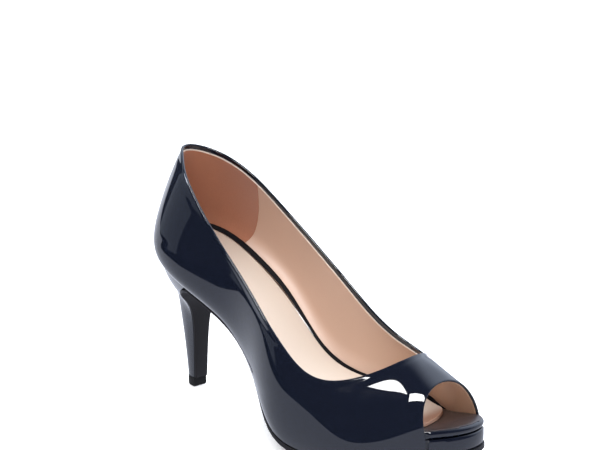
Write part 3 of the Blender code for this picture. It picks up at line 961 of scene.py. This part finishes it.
# %% [markdown]
# ## The dark strip round the footbed
# A near-black strip shows between the wall and the sock. It is partly the board's dark cover turned up
# against the lining and partly painted shade in the gap beside the sock, so it is darker than the
# board's cover. The strip starts at the board and ends at one height over it, so its upper edge follows
# the board's line round the heel, and it fades out at its two ends. A dark band in the lining's
# finish would need that same line as a mask, and a piece of its own gives a crisp edge.

# %% Dark strip, partly painted shade
STRIP_HEIGHT = 2.6 * MM
STRIP = 0.15 * MM
STRIP_FADE = 2.0            # columns
STRIP_BACK = GRIP + 0.02 * MM
STRIP_STEPS = 6
STRIP_BACK_STEPS = 4

strip_columns = np.arange(-strip_span, strip_span + PAST_END, COLUMN_STEP)
strip_top = row_over_board(strip_columns, STRIP_HEIGHT)
strip_low = row_over_board(strip_columns, OVER_BOARD)
fade = np.clip((strip_span - np.abs(strip_columns)) / STRIP_FADE, 0, 1)
strip_top = strip_low + (strip_top - strip_low) * fade
strip_front = between(strip_low, strip_top, STRIP_STEPS, STRIP_BACK + STRIP)
strip_rear = between(strip_top, strip_low, STRIP_BACK_STEPS, STRIP_BACK)
lay_loop("footbed_strip", strip_columns,
         [(levels, depths + lining_face(strip_columns, levels))
          for levels, depths in (strip_front, strip_rear)],
         strip_cover_and_shade, closed_round=False)

# %% [markdown]
# ## Solid pieces
# Board, platform, sole, heel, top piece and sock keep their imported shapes. A copy of each gets its
# quads back, its sharp edges are rounded with a bevel, and a subdivision smooths most of them. They
# could be modelled again, but a copy can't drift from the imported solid. The sock is a thin glued
# insole, so a rounded edge makes it look padded, and no cloth simulation is needed.

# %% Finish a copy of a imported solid


BEVEL_ANGLE = 40
BEVEL_SEGMENTS = 3


def rounded_copy(node, name, bevel, levels):
    """A copy of a CAD node with rounded edges and a smooth surface."""
    piece = merged_copy(node, name)
    in_edit_mode(piece)
    bpy.ops.mesh.tris_convert_to_quads(face_threshold=math.pi, shape_threshold=math.pi,
                                       topology_influence=1.3)
    leave_edit_mode()
    piece.data.materials.clear()
    if bevel:
        rounding = piece.modifiers.new("Rounded edges", "BEVEL")
        rounding.width = bevel
        rounding.segments = BEVEL_SEGMENTS
        rounding.limit_method = "ANGLE"
        rounding.angle_limit = math.radians(BEVEL_ANGLE)
    if levels:
        smooth = piece.modifiers.new("Smooth", "SUBSURF")
        smooth.levels = smooth.render_levels = levels
    apply_modifiers(piece)
    work_on(piece)
    bpy.ops.object.shade_smooth()
    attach(piece, "root")
    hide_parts(node)
    return piece


# %% Board, platform, sole, heel, top piece and sock
SOLE_SHARP = 30
SOLIDS = (
    # node, piece, bevel, subdivision levels, finish, slot
    ("insole_board", "board", 0.0, 1, navy_patent, "navy_patent"),
    ("platform", "platform_wrap", 0.3 * MM, 1, navy_patent, "navy_patent"),
    ("outsole", "sole", 0.15 * MM, 0, sole_black, "black_sole"),
    ("heel", "heel_cover", 0.3 * MM, 1, navy_patent, "navy_patent"),
    ("top_piece", "heel_tip", 0.3 * MM, 1, rubber_black, "black_rubber"),
    ("sock_lining", "padded_sock", 0.7 * MM, 1, cream_sock, "cream_sock"),
)
made = {}
for node, name, bevel, levels, paint, slot in SOLIDS:
    piece = rounded_copy(node, name, bevel, levels)
    piece.data.materials.append(paint)
    count(piece)
    made[name] = piece
smooth_up_to(made["sole"], SOLE_SHARP)

# %% [markdown]
# ## The board's cover
# The board's rolled rim is patent leather, and a thin satin sheet covers its flat top. The sheet is
# the top of the board, taken over as faces and given a thickness, so that it ends in a fine step. A
# second finish on the board's own faces would be quicker, but it would have no step. The rim is told
# from the flat top by how far a face tips, and on the slope at the waist more tipping is allowed.

# %% Cover sheet
COVER = 0.16 * MM
COVER_LIFT = 0.04 * MM
RIM_FLATNESS = 0.93         # least upward part of a face's normal, near the toe
SLOPE_FLATNESS = 0.50       # the same, behind it
RIM_START = 0.150

board_sheet = rounded_copy("insole_board", "board_sheet", 0.0, 1)
board_sheet.data.materials.append(board_satin)
in_edit_mode(board_sheet)
bpy.ops.mesh.select_mode(type="FACE")
bpy.ops.mesh.select_all(action="DESELECT")
leave_edit_mode()
for face in board_sheet.data.polygons:
    face.select = face.normal.z < (RIM_FLATNESS if face.center.x > RIM_START else SLOPE_FLATNESS)
bpy.ops.object.mode_set(mode="EDIT")
bpy.ops.mesh.delete(type="FACE")
bpy.ops.mesh.select_all(action="SELECT")
bpy.ops.transform.translate(value=(0, 0, COVER_LIFT))
leave_edit_mode()
thick = board_sheet.modifiers.new("Sheet", "SOLIDIFY")
thick.thickness = COVER
thick.offset = 1.0
apply_modifiers(board_sheet)
count(board_sheet)
